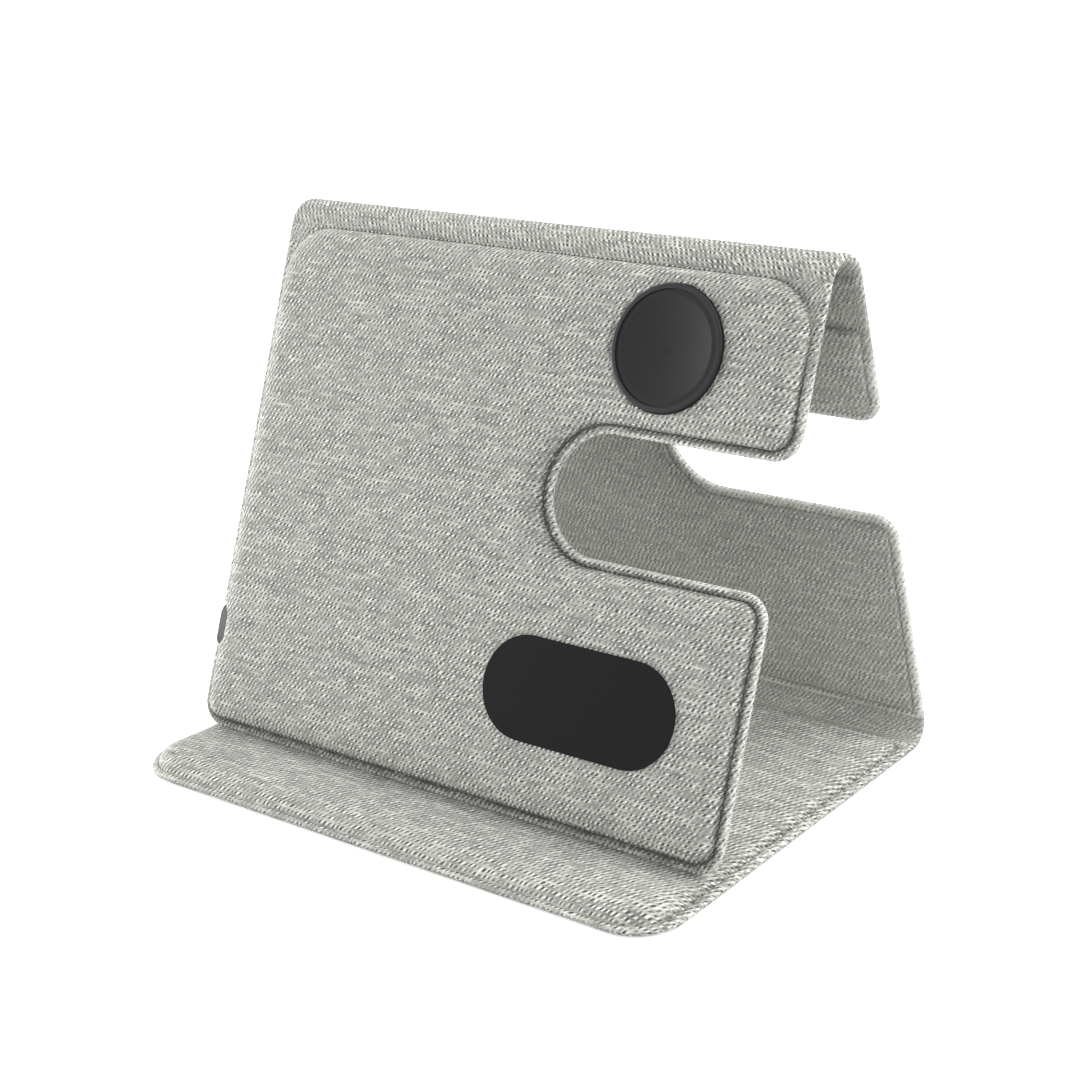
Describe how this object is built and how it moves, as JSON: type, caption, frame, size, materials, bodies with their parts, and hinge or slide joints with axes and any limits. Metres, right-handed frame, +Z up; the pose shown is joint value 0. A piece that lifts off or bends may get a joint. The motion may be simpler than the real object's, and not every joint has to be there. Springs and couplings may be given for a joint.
{
  "type": "folding wireless charging stand",
  "caption": "Cloth-covered folding tent stand that charges a phone on its front leaf, a watch on an arm over a slot, and earbuds on its base.",
  "frame": {"origin": "on the surface it stands on, under the middle of its bounding box", "axes": "+X to the right as a user faces it, +Y to the back, +Z up"},
  "size_m": [0.1554, 0.1149, 0.1275],
  "materials": {
    "cloth": "heathered woven cloth",
    "lining": "heathered woven cloth",
    "foam": "soft foam",
    "housing": "moulded",
    "stiff_board": "rolled sheet",
    "ribbon": "film",
    "coil_wire": "wound copper wire",
    "ferrite": "sintered",
    "magnet": "plated",
    "circuit_board": "solder mask",
    "chips": "moulded",
    "capacitors": "fired",
    "feet": "matt",
    "bezel": "moulded",
    "socket_metal": "drawn sheet",
    "badge": "matt",
    "puck_case": "fine texture",
    "puck_cap": "satin"
  },
  "bodies": {
    "base": {"base_bottom_cover": "cloth", "base_top_cover": "cloth", "base_foam": "foam", "base_shell": "housing", "base_plate": "housing", "base_ribbon": "ribbon", "earbuds_coil": "coil_wire", "earbuds_ferrite": "ferrite", "base_magnet_left": "magnet", "base_magnet_right": "magnet", "foot_front_left": "feet", "foot_front_right": "feet", "foot_rear_left": "feet", "foot_rear_right": "feet", "rear_fold_cover": "cloth", "rear_fold_lining": "lining", "rear_fold_ribbon": "ribbon"},
    "back_leaf": {"back_cover": "cloth", "back_board": "stiff_board", "back_lining": "lining", "back_ribbon": "ribbon", "top_fold_cover": "cloth", "top_fold_lining": "lining", "top_fold_ribbon": "ribbon"},
    "front_leaf": {"front_cover": "cloth", "front_lining": "lining", "front_foam": "foam", "front_shell": "housing", "front_plate": "housing", "front_ribbon": "ribbon", "front_badge": "badge", "phone_coil": "coil_wire", "phone_ferrite": "ferrite", "control_board": "circuit_board", "control_chips": "chips", "tuning_capacitors": "capacitors", "usb_bezel": "bezel", "usb_shell": "socket_metal", "usb_tongue": "bezel", "heel_magnet_left": "magnet", "heel_magnet_right": "magnet", "watch_case": "puck_case", "watch_cap": "puck_cap", "watch_coil": "coil_wire", "watch_ferrite": "ferrite", "watch_magnet": "magnet"}
  },
  "joints": [
    {"name": "rear_fold", "type": "hinge", "parent": "base", "child": "back_leaf", "pos_m": [0, 0.05145, 0.0065], "axis": [-1, 0, 0], "range_deg": [0, 104], "deforming": ["rear_fold_cover", "rear_fold_lining", "rear_fold_ribbon"]},
    {"name": "top_fold", "type": "hinge", "parent": "back_leaf", "child": "front_leaf", "pos_m": [0, 0.02075, 0.12024], "axis": [1, 0, 0], "range_deg": [0, 39.5], "deforming": ["top_fold_cover", "top_fold_lining", "top_fold_ribbon"]}
  ],
  "couplings": [
    {"joint": "top_fold", "follows": "rear_fold", "ratio": 0.375}
  ]
}
